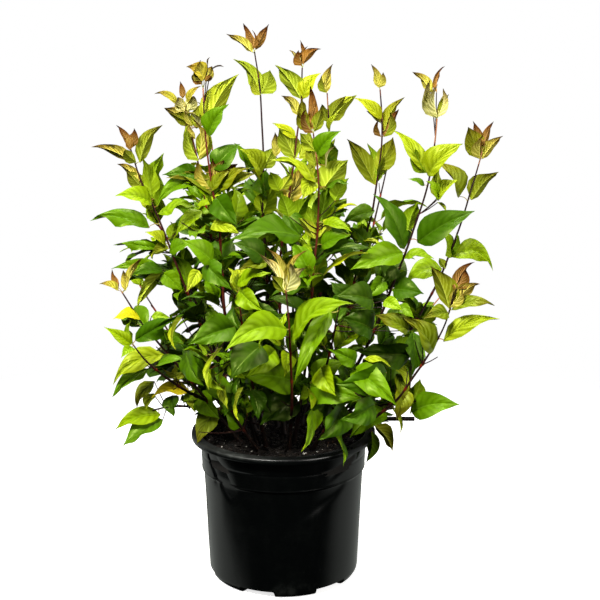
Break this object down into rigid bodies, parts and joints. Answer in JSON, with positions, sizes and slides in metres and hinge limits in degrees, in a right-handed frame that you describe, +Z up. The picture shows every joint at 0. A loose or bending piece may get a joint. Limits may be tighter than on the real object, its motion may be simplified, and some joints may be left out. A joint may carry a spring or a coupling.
{
  "type": "potted red twig dogwood",
  "caption": "Bushy deciduous shrub with slender red canes and paired, pointed, arching leaves, full on all sides, standing in potting mix in a round glossy black nursery pot.",
  "frame": {"origin": "centre of the pot's flat underside, on its turning axis", "axes": "+Z up along the pot's axis, -Y towards the front, the side the picture shows, +X to that view's right"},
  "size_m": [0.5571, 0.4908, 0.7507],
  "materials": {
    "pot_plastic": "moulded black nursery-pot plastic, glossy, softly dented",
    "potting_mix": "rough dark potting mix with bark chips and white specks",
    "cane_bark": "smooth red to dark brown young bark with rings at the leaf pairs",
    "foliage": "satin green leaves with arched sunken veins, yellow-green and bronze at the tips"
  },
  "bodies": {
    "root": {"bough_left_inner": "cane_bark", "bough_left_low": "cane_bark", "foliage_back_centre": "foliage", "foliage_back_left": "foliage", "foliage_back_right": "foliage", "foliage_back_spire": "foliage", "foliage_centre": "foliage", "foliage_front_centre": "foliage", "foliage_front_left_low": "foliage", "foliage_front_left_mid": "foliage", "foliage_front_left_spire": "foliage", "foliage_front_pale": "foliage", "foliage_front_right_low": "foliage", "foliage_front_right_mid": "foliage", "foliage_left_arching": "foliage", "foliage_left_crown": "foliage", "foliage_left_drooping": "foliage", "foliage_left_inner": "foliage", "foliage_left_low": "foliage", "foliage_left_tall": "foliage", "foliage_rear_left_low": "foliage", "foliage_rear_right_low": "foliage", "foliage_right_arching": "foliage", "foliage_right_centre": "foliage", "foliage_right_drooping": "foliage", "foliage_right_outer": "foliage", "foliage_right_tall": "foliage", "foliage_side_left_low": "foliage", "foliage_side_right_low": "foliage", "foliage_top": "foliage", "pot": "pot_plastic", "potting_mix": "potting_mix", "pruned_cane": "cane_bark", "stem_back_centre": "cane_bark", "stem_back_left": "cane_bark", "stem_back_right": "cane_bark", "stem_back_spire": "cane_bark", "stem_centre": "cane_bark", "stem_front_centre": "cane_bark", "stem_front_left_low": "cane_bark", "stem_front_left_mid": "cane_bark", "stem_front_left_spire": "cane_bark", "stem_front_pale": "cane_bark", "stem_front_right_low": "cane_bark", "stem_front_right_mid": "cane_bark", "stem_left_arching": "cane_bark", "stem_left_crown": "cane_bark", "stem_left_drooping": "cane_bark", "stem_left_tall": "cane_bark", "stem_rear_left_low": "cane_bark", "stem_rear_right_low": "cane_bark", "stem_right_arching": "cane_bark", "stem_right_centre": "cane_bark", "stem_right_drooping": "cane_bark", "stem_right_outer": "cane_bark", "stem_right_tall": "cane_bark", "stem_side_left_low": "cane_bark", "stem_side_right_low": "cane_bark", "stem_top": "cane_bark"}
  },
  "joints": []
}
